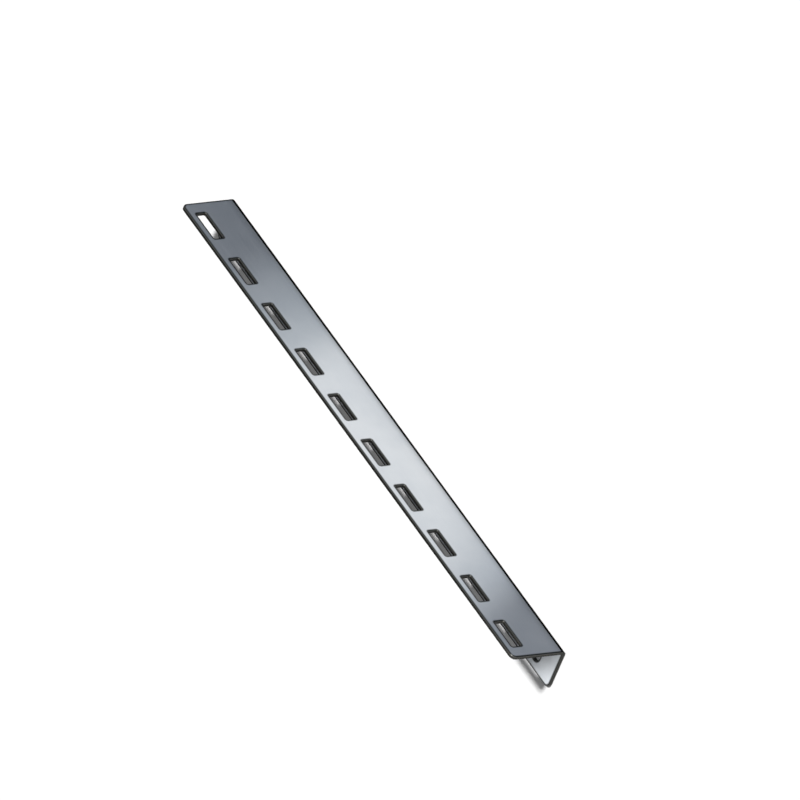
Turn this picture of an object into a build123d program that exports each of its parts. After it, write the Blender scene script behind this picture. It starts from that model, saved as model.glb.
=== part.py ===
from build123d import *
import os

# Slotted rack rail that lever locks hook into: one strip of steel sheet, punched flat and folded once.
# It is modelled as it rests on its mounting flange. X runs along the rail, the lock flange stands
# upright with its outer face towards -Y, and the mounting flange lies on Z = 0 with its free edge at +Y.
# All sizes are in millimetres.

# Rack spacing that the rail is made to
RACK_UNIT_HEIGHT = 44.45      # one rack unit, and so the pitch of the slots
UNIT_COUNT = 10               # rack units that the rail spans, with one slot in the middle of each

# Folded sheet
SHEET_THICKNESS = 2.5
BEND_INNER_RADIUS = 0.8
LOCK_FLANGE_WIDTH = 43.0      # outside width of the upright, slotted flange
MOUNT_FLANGE_WIDTH = 31.8     # outside width of the flange that is screwed down
LOCK_CORNER_RADIUS = 4.0      # free corners of the lock flange, at both ends
MOUNT_CORNER_RADIUS = 4.5     # free corners of the mounting flange, at both ends

# Punched openings
SLOT_LENGTH = 24.4            # along the rail
SLOT_WIDTH = 7.5
SLOT_EDGE_LAND = 5.6          # sheet left between a slot and the lock flange's free edge
SLOT_CORNER_RADIUS = 0.9      # corners of the punch
MOUNT_HOLE_DIAMETER = 9.5
MOUNT_HOLE_LAND = 6.1         # sheet left between a hole and the mounting flange's free edge

# Finish of the cut edges
EDGE_BREAK = 0.25             # small bevel that tumbling leaves on every sheared and punched edge

# Places worked out from the sizes above
rail_length = UNIT_COUNT * RACK_UNIT_HEIGHT
lock_face_y = -MOUNT_FLANGE_WIDTH / 2
mount_edge_y = MOUNT_FLANGE_WIDTH / 2
slot_centre_z = LOCK_FLANGE_WIDTH - SLOT_EDGE_LAND - SLOT_WIDTH / 2
hole_centre_y = mount_edge_y - MOUNT_HOLE_LAND - MOUNT_HOLE_DIAMETER / 2
end_unit_x = (rail_length - RACK_UNIT_HEIGHT) / 2
punch_travel = 2 * SHEET_THICKNESS


def angle_section() -> Sketch:
    """Cross-section of the folded sheet, drawn along the middle of its thickness."""
    mid = SHEET_THICKNESS / 2
    with BuildSketch(Plane.YZ) as section:
        with BuildLine():
            FilletPolyline(
                (lock_face_y + mid, LOCK_FLANGE_WIDTH),
                (lock_face_y + mid, mid),
                (mount_edge_y, mid),
                radius=BEND_INNER_RADIUS + mid,
            )
        trace(line_width=SHEET_THICKNESS)
    return section.sketch


def folded_blank() -> Part:
    """The section drawn out to the rail's length, with the four free corners rounded."""
    blank = extrude(angle_section(), amount=rail_length / 2, both=True)
    lock_corners = blank.edges().filter_by(Axis.Y).group_by(Axis.Z)[-1]
    blank = fillet(lock_corners, LOCK_CORNER_RADIUS)
    mount_corners = blank.edges().filter_by(Axis.Z).group_by(Axis.Y)[-1]
    return fillet(mount_corners, MOUNT_CORNER_RADIUS)


def slot_punches() -> Part:
    """One rounded rectangle in the middle of each rack unit, pushed through the lock flange."""
    lock_face = Plane(origin=(0, lock_face_y, slot_centre_z), x_dir=(1, 0, 0), z_dir=(0, -1, 0))
    with BuildPart() as punches:
        with BuildSketch(lock_face):
            with GridLocations(RACK_UNIT_HEIGHT, RACK_UNIT_HEIGHT, UNIT_COUNT, 1):
                RectangleRounded(SLOT_LENGTH, SLOT_WIDTH, SLOT_CORNER_RADIUS)
        extrude(amount=punch_travel, both=True)
    return punches.part


def hole_punches() -> Part:
    """One round hole through the mounting flange at each end, level with the end slot's middle."""
    with BuildPart() as punches:
        with BuildSketch(Plane((0, hole_centre_y, 0))):
            with Locations((-end_unit_x, 0), (end_unit_x, 0)):
                Circle(MOUNT_HOLE_DIAMETER / 2)
        extrude(amount=punch_travel, both=True)
    return punches.part


def cut_edges(rail: Part) -> ShapeList:
    """Edges where a sheared or punched wall meets the sheet's face, told by their square corner."""
    faces_of = {}
    for face in rail.faces():
        for edge in face.edges():
            faces_of.setdefault(edge, []).append(face)
    square = ShapeList()
    for edge, faces in faces_of.items():
        first, last = (face.normal_at(edge @ 0.5) for face in (faces[0], faces[-1]))
        if abs(first.dot(last)) < 0.5:
            square.append(edge)
    return square


def slotted_angle() -> Part:
    """The whole rail: folded blank, less its slots and holes, with a small bevel on every cut edge."""
    rail = folded_blank() - slot_punches() - hole_punches()
    return chamfer(cut_edges(rail), EDGE_BREAK)


os.makedirs("parts", exist_ok=True)
export_step(slotted_angle(), "parts/slotted_angle.step")
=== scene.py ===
"""Studio picture of a slotted steel rack rail: its finish, its floor, its lights and its camera."""
import logging
import math
from dataclasses import dataclass, field
from enum import Enum
from typing import Any

import bpy
from mathutils import Matrix, Vector


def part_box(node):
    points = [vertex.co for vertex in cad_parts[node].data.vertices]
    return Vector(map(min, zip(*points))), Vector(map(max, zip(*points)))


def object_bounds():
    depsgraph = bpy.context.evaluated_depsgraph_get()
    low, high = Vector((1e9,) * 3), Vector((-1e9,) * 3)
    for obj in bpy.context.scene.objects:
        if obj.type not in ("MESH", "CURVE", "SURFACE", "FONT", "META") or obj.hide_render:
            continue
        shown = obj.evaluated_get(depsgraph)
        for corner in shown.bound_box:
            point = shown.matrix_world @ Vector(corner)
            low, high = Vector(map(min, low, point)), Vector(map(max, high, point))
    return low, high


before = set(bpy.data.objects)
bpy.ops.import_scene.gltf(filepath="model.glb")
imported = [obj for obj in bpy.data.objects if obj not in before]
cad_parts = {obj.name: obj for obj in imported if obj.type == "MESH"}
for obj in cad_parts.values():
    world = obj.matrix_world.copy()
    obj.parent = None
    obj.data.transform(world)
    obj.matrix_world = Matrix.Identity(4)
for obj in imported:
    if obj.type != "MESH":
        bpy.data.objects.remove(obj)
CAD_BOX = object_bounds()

LOG = logging.getLogger("slotted_rail")
MM = 0.001
RACK_UNIT = 44.45 * MM
RAIL_NODE = "slotted_angle"
PICTURE_SIDE_PX = 800
EQUAL_AXES_SCALE = math.sqrt(2 / 3)          # how long each axis looks, down the diagonal of all three
EASED = {"interpolation_type": "SMOOTHSTEP"}      # makes a Map Range node start and end gently
Source = bpy.types.Node | bpy.types.NodeSocket    # what an input of a node can be linked from


class Ray(Enum):
    """Kinds of light path that the surroundings can answer on their own."""

    CAMERA = "Is Camera Ray"
    GLOSSY = "Is Glossy Ray"
    TRANSMISSION = "Is Transmission Ray"


def linear(code: str) -> tuple[float, float, float, float]:
    """Turns an sRGB hex colour into linear light.

    Args:
        code: Colour such as "#d3d8dc".

    Returns:
        Red, green and blue in linear light, and an opacity of 1.
    """
    channels = [int(code[i:i + 2], 16) / 255 for i in (1, 3, 5)]
    red, green, blue = (c / 12.92 if c <= 0.04045 else ((c + 0.055) / 1.055) ** 2.4 for c in channels)
    return red, green, blue, 1.0


class Nodes:
    """The node tree of a material or of the surroundings, and the one way to add to it."""

    def __init__(self, owner: bpy.types.Material | bpy.types.World) -> None:
        """Gives the owner an empty node tree.

        Args:
            owner: Material or world that the nodes belong to.
        """
        owner.use_nodes = True
        self.tree = owner.node_tree
        self.tree.nodes.clear()

    def add(self, kind: str, *inputs: Any, **named: Any) -> bpy.types.Node:
        """Adds a node, sets its properties and fills or links its inputs.

        A value is a number, a colour, a socket to link from, or a node, which stands for the first output
        that it shows.

        Args:
            kind: Node type without its first word, such as "Math" for ShaderNodeMath.
            inputs: Values for the inputs that the node shows, in their order.
            named: A name in lower case is a property, such as operation. Any other is an input, with
                underscores for spaces, such as Base_Color.

        Returns:
            The new node.
        """
        node = self.tree.nodes.new("ShaderNode" + kind)
        for name, value in named.items():
            if name.islower():
                setattr(node, name, value)
        shown = [socket for socket in node.inputs if socket.enabled]
        filled = list(zip(shown, inputs))
        filled += [(node.inputs[n.replace("_", " ")], v) for n, v in named.items() if not n.islower()]
        for socket, value in filled:
            if isinstance(value, bpy.types.Node):
                value = next(output for output in value.outputs if output.enabled)
            if isinstance(value, bpy.types.NodeSocket):
                self.tree.links.new(value, socket)
            else:
                socket.default_value = value
        return node


def new_material(name: str) -> tuple[bpy.types.Material, Nodes]:
    """Makes an empty node material.

    Args:
        name: Name of the material.

    Returns:
        The material and its nodes.
    """
    material = bpy.data.materials.new(name)
    return material, Nodes(material)


@dataclass(frozen=True)
class RailSizes:
    """Sizes of the rail that its finish is laid out by, in metres."""

    low: Vector
    high: Vector
    sheet: float = 2.5 * MM
    bend_radius: float = 3.3 * MM
    bend_margin: float = 0.6 * MM                # past the bend, before a flange counts as flat
    slot_length: float = 24.4 * MM
    slot_width: float = 7.5 * MM
    slot_land: float = 5.6 * MM
    slot_corner: float = 0.9 * MM
    lock_corner: float = 4.0 * MM
    mount_corner: float = 4.5 * MM
    hole_radius: float = 4.75 * MM
    hole_land: float = 6.1 * MM

    @property
    def slot_z(self) -> float:
        """Height of the slots' middle."""
        return self.high.z - self.slot_land - self.slot_width / 2

    @property
    def hole_x(self) -> float:
        """Distance of both mounting holes from the rail's middle."""
        return self.high.x - RACK_UNIT / 2

    @property
    def hole_y(self) -> float:
        """Place of the mounting holes across the rail."""
        return self.high.y - self.hole_land - self.hole_radius

    @property
    def bend_end_y(self) -> float:
        """Where the mounting flange runs flat, past the bend."""
        return self.low.y + self.bend_radius + self.bend_margin

    @property
    def bend_end_z(self) -> float:
        """Where the lock flange runs flat, above the bend."""
        return self.low.z + self.bend_radius + self.bend_margin


class SheetMap:
    """Tells, in nodes, where on the folded sheet a point of the rail's surface lies.

    A facing is how squarely the surface looks along an axis, from 0 to 1. The bevel of a cut edge has a
    facing of 0.71 both ways, and counts as part of the cut wall.
    """

    SHEET_FACING = 0.8                           # a flange's own face looks across its sheet by more
    WALL_FACING = 0.75                           # a cut wall and its bevel look across it by less
    LENGTHWISE_FACING = 0.6                      # what runs along the rail looks along it by less
    CROSSWISE_FACING = 0.65                      # a cut across the rail and its bevel do so by more
    NOISE_ROUGHNESS = 0.55
    NOISE_LOW = 0.3                              # the noise is stretched from these two to 0 and 1
    NOISE_HIGH = 0.7

    def __init__(self, nodes: Nodes, sizes: RailSizes) -> None:
        """Adds the point's place, the way that its surface faces, and the flange that it lies on.

        Args:
            nodes: Nodes of the rail's finish.
            sizes: Sizes of the rail.
        """
        self.add = nodes.add
        self.sizes = sizes
        coordinates = self.add("TexCoord").outputs
        self.place = coordinates["Object"]
        self.x, self.y, self.z = self.add("SeparateXYZ", self.place).outputs
        self.facing = self.add("SeparateXYZ", coordinates["Normal"]).outputs
        self.on_lock = self.add("Math", self.z, sizes.bend_end_z, operation="GREATER_THAN")
        self.on_mount = self.add("Math", self.y, sizes.bend_end_y, operation="GREATER_THAN")

    def cut_walls(self) -> bpy.types.Node:
        """Tells sheared and punched walls, which stand square to the sheet, from the sheet's own faces.

        Returns:
            1 on a cut wall and 0 on the sheet.
        """
        add = self.add
        along, across, upward = (add("Math", way, operation="ABSOLUTE") for way in self.facing)
        off_lock = add("MapRange", across, self.SHEET_FACING, self.WALL_FACING, **EASED)
        off_mount = add("MapRange", upward, self.SHEET_FACING, self.WALL_FACING, **EASED)
        lock_wall = add("Math", self.on_lock, off_lock, operation="MULTIPLY")
        mount_wall = add("Math", self.on_mount, off_mount, operation="MULTIPLY")
        flange_wall = add("Math", lock_wall, mount_wall, operation="MAXIMUM")
        end_wall = add("MapRange", along, self.LENGTHWISE_FACING, self.CROSSWISE_FACING, **EASED)
        return add("Math", flange_wall, end_wall, operation="MAXIMUM")

    def bend(self, fade: float) -> bpy.types.Node:
        """Finds the burnished bend.

        Args:
            fade: Distance past the bend in which it fades out.

        Returns:
            1 on the bend and 0 where either flange runs flat.
        """
        add = self.add
        radius = self.sizes.bend_radius
        beyond_y = add("Math", self.y, self.sizes.low.y, operation="SUBTRACT")
        beyond_z = add("Math", self.z, self.sizes.low.z, operation="SUBTRACT")
        farthest = add("Math", beyond_y, beyond_z, operation="MAXIMUM")
        return add("MapRange", farthest, radius, radius + fade, 1.0, 0.0, **EASED)

    def painted_shade_rim(self, inner: float, outer: float) -> bpy.types.Node:
        """Finds the narrow rim along every sheared end, free edge, slot and hole, where shade is painted
        into the colour.

        Both halves of the rail are alike, so places along it are measured from its middle.

        Args:
            inner: Distance from the cut within which the rim is whole.
            outer: Distance from the cut at which it has faded out.

        Returns:
            1 at a cut edge, down to 0 where the sheet's face is flat.
        """
        add = self.add
        sizes = self.sizes
        aside = add("Math", self.x, operation="ABSOLUTE")
        lock_half = (sizes.high.x, sizes.high.z)
        mount_half = (sizes.high.x, sizes.high.y)
        past_lock = self._past_rectangle(aside, self.z, lock_half, sizes.lock_corner)
        past_mount = self._past_rectangle(aside, self.y, mount_half, sizes.mount_corner)

        in_unit = add("Math", aside, RACK_UNIT, operation="MODULO")
        off_slot_x = add("Math", in_unit, RACK_UNIT / 2, operation="SUBTRACT")
        off_slot_z = add("Math", self.z, sizes.slot_z, operation="SUBTRACT")
        slot_x = add("Math", off_slot_x, operation="ABSOLUTE")
        slot_z = add("Math", off_slot_z, operation="ABSOLUTE")
        slot_half = (sizes.slot_length / 2, sizes.slot_width / 2)
        from_slot = self._past_rectangle(slot_x, slot_z, slot_half, sizes.slot_corner)

        hole_x = add("Math", aside, sizes.hole_x, operation="SUBTRACT")
        hole_y = add("Math", self.y, sizes.hole_y, operation="SUBTRACT")
        from_middle = self._length(hole_x, hole_y)
        from_hole = add("Math", from_middle, sizes.hole_radius, operation="SUBTRACT")

        within_lock = add("Math", past_lock, -1.0, operation="MULTIPLY")
        within_mount = add("Math", past_mount, -1.0, operation="MULTIPLY")
        lock = add("Math", from_slot, within_lock, operation="MINIMUM")
        mount = add("Math", from_hole, within_mount, operation="MINIMUM")
        nearest = add("Mix", self.on_mount, lock, mount, data_type="FLOAT")
        return add("MapRange", nearest, inner, outer, 1.0, 0.0, **EASED)

    def noise(self, blob: tuple[float, float, float], detail: float) -> bpy.types.Node:
        """Makes noise whose blobs have a real size along each axis.

        Args:
            blob: Size of one blob along X, Y and Z, in metres.
            detail: How many finer layers the noise has.

        Returns:
            Noise between 0 and 1.
        """
        scale = tuple(1 / size for size in blob)
        laid = self.add("Mapping", Vector=self.place, Scale=scale)
        noise = self.add("TexNoise", Vector=laid, Scale=1.0, Detail=detail, Roughness=self.NOISE_ROUGHNESS)
        return self.add("MapRange", noise, self.NOISE_LOW, self.NOISE_HIGH, **EASED)

    def _past_rectangle(
        self, across: Source, upward: Source, half: tuple[float, float], corner: float
    ) -> bpy.types.Node:
        """Measures how far a point lies from the outline of a rectangle with round corners.

        Args:
            across: Distance from the rectangle's middle, one way.
            upward: Distance from its middle, the other way.
            half: Half its length and half its width.
            corner: Radius of its corners.

        Returns:
            The distance, below 0 inside the rectangle.
        """
        add = self.add
        over_x = add("Math", across, half[0] - corner, operation="SUBTRACT")
        over_y = add("Math", upward, half[1] - corner, operation="SUBTRACT")
        past_x = add("Math", over_x, 0.0, operation="MAXIMUM")
        past_y = add("Math", over_y, 0.0, operation="MAXIMUM")
        farther = add("Math", over_x, over_y, operation="MAXIMUM")
        within = add("Math", farther, 0.0, operation="MINIMUM")
        total = add("Math", self._length(past_x, past_y), within, operation="ADD")
        return add("Math", total, corner, operation="SUBTRACT")

    def _length(self, first: bpy.types.Node, second: bpy.types.Node) -> bpy.types.Node:
        """Length of a flat vector with the two given parts."""
        return self.add("VectorMath", self.add("CombineXYZ", first, second), operation="LENGTH")


@dataclass(frozen=True)
class ZincPlatedSheet:
    """Cold-rolled steel sheet with blue-clear zinc plating, sheared and punched after it was plated.

    The plating is a satin metal with a cool tint. Rolling leaves fine lines along the rail, and the
    bath leaves soft clouds a few centimetres wide. Sheared walls are bare, dark and rough, with a smooth
    band where the tool went in and torn grain past it.

    The picture outlines every edge in black, which a real rail doesn't have. So shade is painted into the
    colour of a narrow rim along every cut edge, where a punch drags the edge down and the rolled edge would
    reflect darker; the painted rim is darker and wider than such an edge. The bend that the folding tool
    burnishes is made glossier than the tool leaves it. So the edges read as they do in the picture.
    """

    plating: str = "#d7dbdf"
    plating_dull: str = "#ced3d8"
    bare_edge: str = "#4e4e4b"
    bare_edge_torn: str = "#363634"
    # painted shade along the rim of every cut edge, standing in for a darker reflection
    painted_shade_rim: str = "#262726"
    painted_shade_rim_inner: float = 0.6 * MM
    painted_shade_rim_outer: float = 1.8 * MM
    roughness: float = 0.36
    roughness_swing: float = 0.05                # by which the rolling lines raise and lower it
    bend_roughness: float = 0.15
    bend_fade: float = 1.0 * MM
    edge_roughness: float = 0.4
    edge_roughness_torn: float = 0.62
    relief_strength: float = 0.12
    relief_depth: float = 0.05 * MM
    line_spacing: float = 0.5 * MM               # coarser than real lines, yet still finer than a pixel
    line_length: float = 60 * MM
    line_detail: float = 2.0
    cloud_width: float = 38 * MM
    cloud_detail: float = 3.0
    smooth_band_share: float = 0.35              # of the sheet's thickness, from its outer face
    smooth_band_blur: float = 0.2                # of the band, either side of its end
    grain_width: float = 0.35 * MM
    grain_detail: float = 1.0
    least_torn: float = 0.55                     # how torn the metal between two grains is

    def build(self, sizes: RailSizes) -> bpy.types.Material:
        """Makes the material.

        Args:
            sizes: Sizes of the rail, which tell its cut walls from its sheet faces.

        Returns:
            The finished material.
        """
        material, nodes = new_material("zinc_plated_steel_sheet")
        add = nodes.add
        rail = SheetMap(nodes, sizes)
        cut = rail.cut_walls()
        painted_shade_rim = rail.painted_shade_rim(self.painted_shade_rim_inner, self.painted_shade_rim_outer)
        bend = rail.bend(self.bend_fade)
        lines = rail.noise((self.line_length, self.line_spacing, self.line_spacing), self.line_detail)
        clouds = rail.noise((self.cloud_width,) * 3, self.cloud_detail)
        torn = self._torn_grain(rail)

        plated = add("Mix", clouds, linear(self.plating), linear(self.plating_dull), data_type="RGBA")
        # painted shade darkens the plating along the rim of every cut edge
        sheet_colour = add("Mix", painted_shade_rim, plated, linear(self.painted_shade_rim), data_type="RGBA")
        edge_colour = add("Mix", torn, linear(self.bare_edge), linear(self.bare_edge_torn), data_type="RGBA")
        colour = add("Mix", cut, sheet_colour, edge_colour, data_type="RGBA")

        smoothest = self.roughness - self.roughness_swing
        roughest = self.roughness + self.roughness_swing
        flat_rough = add("MapRange", lines, 0.0, 1.0, smoothest, roughest, **EASED)
        sheet_rough = add("Mix", bend, flat_rough, self.bend_roughness, data_type="FLOAT")
        edge_rough = add("MapRange", torn, 0.0, 1.0, self.edge_roughness, self.edge_roughness_torn, **EASED)
        rough = add("Mix", cut, sheet_rough, edge_rough, data_type="FLOAT")

        relief = add("Mix", cut, lines, torn, data_type="FLOAT")
        bump = add("Bump", Strength=self.relief_strength, Distance=self.relief_depth, Height=relief)
        shader = add("BsdfPrincipled", Metallic=1.0, Base_Color=colour, Roughness=rough, Normal=bump)
        add("OutputMaterial", Surface=shader)
        return material

    def _torn_grain(self, rail: SheetMap) -> bpy.types.Node:
        """Torn grain on a cut wall, past the smooth band at the sheet's outer face.

        Args:
            rail: Where on the sheet each point lies.

        Returns:
            1 where the metal tore and 0 where the tool left it smooth.
        """
        low = rail.sizes.low
        band = self.smooth_band_share * rail.sizes.sheet
        start = band * (1 - self.smooth_band_blur)
        end = band * (1 + self.smooth_band_blur)
        past_y = rail.add("MapRange", rail.y, low.y + start, low.y + end, **EASED)
        past_z = rail.add("MapRange", rail.z, low.z + start, low.z + end, **EASED)
        past = rail.add("Math", past_y, past_z, operation="MULTIPLY")
        grain = rail.noise((self.grain_width,) * 3, self.grain_detail)
        torn = rail.add("MapRange", grain, 0.0, 1.0, self.least_torn, 1.0, **EASED)
        return rail.add("Math", past, torn, operation="MULTIPLY")


@dataclass
class SlottedRail:
    """The folded, slotted sheet: one CAD piece, kept in its place and given its finish."""

    finish: ZincPlatedSheet = field(default_factory=ZincPlatedSheet)

    def dress(self) -> bpy.types.Object:
        """Puts the finish on the CAD piece.

        Returns:
            The rail's object.
        """
        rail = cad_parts[RAIL_NODE]
        low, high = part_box(RAIL_NODE)
        material = self.finish.build(RailSizes(low=low, high=high))
        for slot in rail.material_slots:
            slot.material = material
        return rail


@dataclass(frozen=True)
class PaleFloor:
    """Matt white paper that the rail rests on and throws its shadow on."""

    paper: str = "#e9e9e9"
    side: float = 8.0
    gap: float = 0.02 * MM

    def build(self) -> bpy.types.Object:
        """Makes the paper, a hair below the rail, so that the two never share a plane.

        Returns:
            The floor's object.
        """
        bpy.ops.object.select_all(action="DESELECT")
        bpy.ops.mesh.primitive_plane_add(size=self.side, location=(0, 0, -self.gap))
        floor = bpy.context.object
        floor.name = "paper_floor"
        material, nodes = new_material("matt_white_paper")
        nodes.add("OutputMaterial", Surface=nodes.add("BsdfDiffuse", Color=linear(self.paper)))
        floor.data.materials.append(material)
        return floor


@dataclass(frozen=True)
class GradedCard:
    """A photographer's card that only the metal sees: it shades the rail's mirror image of the room.

    The tones run along the grade, from 0 where it meets the rail's -X end to 1 at its +X end. A dark tape
    can line the edge that lies nearest to the rail. A second tone, where it is given, is all that the
    metal shows of the card by way of another face of the metal, which keeps the inside of the angle from
    going black.
    """

    name: str
    corner: tuple[float, float, float]           # one end of the edge that lies nearest to the rail
    along: tuple[float, float, float]            # from that corner to the edge's other end
    across: tuple[float, float, float]           # from that edge to the far one
    tones: tuple[tuple[float, str], ...]
    grade: tuple[float, float, float]
    strength: float = 1.0
    tape_width: float = 0.0
    tape: str = "#0e0f10"
    second_tone: str = ""
    one_mirror: float = 1.5                      # Glossy Depth is 1 by way of one face and 2 by way of two

    def build(self) -> bpy.types.Object:
        """Makes the card, which no camera, shadow or diffuse ray meets.

        Returns:
            The card's object.
        """
        corner, along, across = (Vector(v) for v in (self.corner, self.along, self.across))
        corners = [corner, corner + along, corner + along + across, corner + across]
        mesh = bpy.data.meshes.new(self.name)
        mesh.from_pydata([tuple(c) for c in corners], [], [(0, 1, 2, 3)])
        card = bpy.data.objects.new(self.name, mesh)
        bpy.context.scene.collection.objects.link(card)
        card.data.materials.append(self._material())
        card.visible_camera = False
        card.visible_diffuse = False
        card.visible_shadow = False
        card.visible_transmission = False
        return card

    def _material(self) -> bpy.types.Material:
        """Makes the card's glow, with its tones, its tape and its second tone.

        Returns:
            The material.
        """
        low, high = CAD_BOX
        material, nodes = new_material(self.name)
        place = nodes.add("TexCoord").outputs["Object"]
        graded = nodes.add("VectorMath", place, self.grade, operation="DOT_PRODUCT")
        share = nodes.add("MapRange", graded, low.x, high.x, 0.0, 1.0)
        colour = nodes.add("ValToRGB", share)
        elements = colour.color_ramp.elements
        elements.remove(elements[1])             # a new ramp has two tones
        elements[0].position, elements[0].color = self.tones[0][0], linear(self.tones[0][1])
        for position, code in self.tones[1:]:
            elements.new(position).color = linear(code)
        if self.tape_width:
            y = nodes.add("SeparateXYZ", place).outputs[1]
            taped = nodes.add("Math", y, self.corner[1] - self.tape_width, operation="GREATER_THAN")
            colour = nodes.add("Mix", taped, colour, linear(self.tape), data_type="RGBA")
        if self.second_tone:
            bounces = nodes.add("LightPath").outputs["Glossy Depth"]
            again = nodes.add("Math", bounces, self.one_mirror, operation="GREATER_THAN")
            colour = nodes.add("Mix", again, colour, linear(self.second_tone), data_type="RGBA")
        glow = nodes.add("Emission", Color=colour, Strength=self.strength)
        nodes.add("OutputMaterial", Surface=glow)
        return material


@dataclass(frozen=True)
class Sun:
    """A soft lamp so far off that it lights the whole floor alike."""

    name: str
    place: tuple[float, float, float]
    strength: float
    softness_deg: float
    colour: str = "#ffffff"

    def build(self) -> bpy.types.Object:
        """Makes the lamp and turns it to the origin.

        Returns:
            The lamp's object.
        """
        data = bpy.data.lights.new(self.name, "SUN")
        data.energy = self.strength
        data.angle = math.radians(self.softness_deg)
        data.color = linear(self.colour)[:3]
        lamp = bpy.data.objects.new(self.name, data)
        lamp.location = self.place
        lamp.rotation_euler = (-Vector(self.place)).to_track_quat("-Z", "Y").to_euler()
        bpy.context.scene.collection.objects.link(lamp)
        return lamp


@dataclass(frozen=True)
class Studio:
    """The floor, the lamp, the two cards and the white room around them.

    The cards' tones were tuned until the light ran along the rendered rail as it does in the picture.
    """

    room: str = "#ffffff"
    room_light: float = 0.2
    floor: PaleFloor = PaleFloor()
    key: Sun = Sun(name="key_lamp", place=(-0.3, -2.0, 2.2), strength=4.56, softness_deg=5.0)
    card_reach: float = 1.0                      # rail lengths by which both cards pass either end
    front_overlap: float = 2 * MM                # by which the front card reaches under the rail
    front_lift: float = 0.1 * MM                 # of the front card off the floor
    front_depth: float = 600 * MM
    front_tape: float = 6 * MM
    back_gap: float = 24 * MM                    # from the rail to the back card
    back_lift: float = 15 * MM                   # of the back card off the floor
    back_height: float = 250 * MM

    def front_card(self) -> GradedCard:
        """Lays out the card on the floor before the lock flange, which mirrors it.

        Returns:
            The front card.
        """
        low, high = CAD_BOX
        length = high.x - low.x
        reach = self.card_reach * length
        return GradedCard(
            name="front_card",
            corner=(low.x - reach, low.y + self.front_overlap, self.front_lift),
            along=(length + 2 * reach, 0, 0),
            across=(0, -self.front_depth, 0),
            tones=(
                (0.10, "#8b8f96"),
                (0.17, "#cfd3d8"),
                (0.29, "#ffffff"),
                (0.63, "#ffffff"),
                (0.71, "#cbcfd3"),
                (0.81, "#a2a7ad"),
                (0.89, "#72777f"),
            ),
            grade=(1, 0.5, 0),
            tape_width=self.front_tape,
        )

    def back_card(self) -> GradedCard:
        """Lays out the card behind the rail, which the cut walls that face up mirror in the picture.

        Returns:
            The back card.
        """
        low, high = CAD_BOX
        length = high.x - low.x
        reach = self.card_reach * length
        return GradedCard(
            name="back_card",
            corner=(low.x - reach, high.y + self.back_gap, self.back_lift),
            along=(length + 2 * reach, 0, 0),
            across=(0, 0, self.back_height),
            tones=((0.064, "#ffffff"), (0.088, "#0c0d0e")),
            grade=(1, 0, -0.25),
            strength=1.3,
            second_tone="#b6babe",
        )

    def build(self) -> list[bpy.types.Object]:
        """Makes everything that stands around the rail.

        Returns:
            The floor, both cards and the lamp.
        """
        self._surround()
        return [thing.build() for thing in (self.floor, self.front_card(), self.back_card(), self.key)]

    def _surround(self) -> None:
        """Makes the room, which the camera sees as white, by itself, in metal or through glass."""
        world = bpy.data.worlds.new("white_room")
        nodes = Nodes(world)
        paths = nodes.add("LightPath").outputs
        camera, glossy, through = (paths[ray.value] for ray in Ray)
        either = nodes.add("Math", camera, glossy, operation="MAXIMUM")
        is_seen = nodes.add("Math", either, through, operation="MAXIMUM")
        lit = nodes.add("Background", Color=linear(self.room), Strength=self.room_light)
        seen = nodes.add("Background", Color=linear(self.room), Strength=1.0)
        nodes.add("OutputWorld", Surface=nodes.add("MixShader", is_seen, lit, seen))
        bpy.context.scene.world = world


@dataclass(frozen=True)
class PictureCamera:
    """Parallel camera that looks down one diagonal of the rail's three axes, rolled as the picture is.

    The picture foreshortens all three axes alike, so the camera looks along (1, 1, -1). In the picture the
    rail's far end, at +X, points up and to the left. The bend's middle is where the lock face would meet
    the floor halfway along the rail, from the picture's corner and not from a pixel's middle.
    """

    back: tuple[float, float, float] = (-1.0, -1.0, 1.0)
    rail_angle_deg: float = 126.14               # of +X in the picture, from the right, anticlockwise
    unit_px: float = 56.12                       # one rack unit along an axis, in the picture
    bend_middle_px: tuple[float, float] = (401.2, 425.1)
    distance: float = 2.0
    clip_near: float = 0.01
    clip_far: float = 20.0

    def build(self) -> bpy.types.Object:
        """Makes the camera and gives it to the scene.

        Returns:
            The camera.
        """
        back = Vector(self.back).normalized()
        rail = Vector((1, 0, 0))
        flat_rail = (rail - back * rail.dot(back)).normalized()
        turn = Matrix.Rotation(-math.radians(self.rail_angle_deg), 3, back)
        right = turn @ flat_rail
        up = back.cross(right)
        px_per_metre = self.unit_px / RACK_UNIT / EQUAL_AXES_SCALE
        low, _ = CAD_BOX
        bend_middle = Vector((0, low.y, low.z))
        half = PICTURE_SIDE_PX / 2
        aside = (self.bend_middle_px[0] - half) / px_per_metre
        above = (half - self.bend_middle_px[1]) / px_per_metre

        data = bpy.data.cameras.new("picture_camera")
        data.type = "ORTHO"
        data.ortho_scale = PICTURE_SIDE_PX / px_per_metre
        data.clip_start, data.clip_end = self.clip_near, self.clip_far
        camera = bpy.data.objects.new("picture_camera", data)
        place = Matrix.Translation(bend_middle - right * aside - up * above + back * self.distance)
        camera.matrix_world = place @ Matrix((right, up, back)).transposed().to_4x4()
        bpy.context.scene.collection.objects.link(camera)
        bpy.context.scene.camera = camera
        return camera


def main() -> None:
    """Builds the camera, the rail's finish and the studio, and reports each."""
    logging.basicConfig(level=logging.INFO, format="%(name)s: %(message)s")
    bpy.context.scene.view_settings.view_transform = "Standard"
    camera = PictureCamera().build()
    LOG.info("%s: %.1f mm across the picture", camera.name, camera.data.ortho_scale / MM)
    rail = SlottedRail().dress()
    LOG.info("%s: %d faces, %s", rail.name, len(rail.data.polygons), rail.material_slots[0].material.name)
    for thing in Studio().build():
        LOG.info("%s: in place", thing.name)


if __name__ == "__main__":
    main()
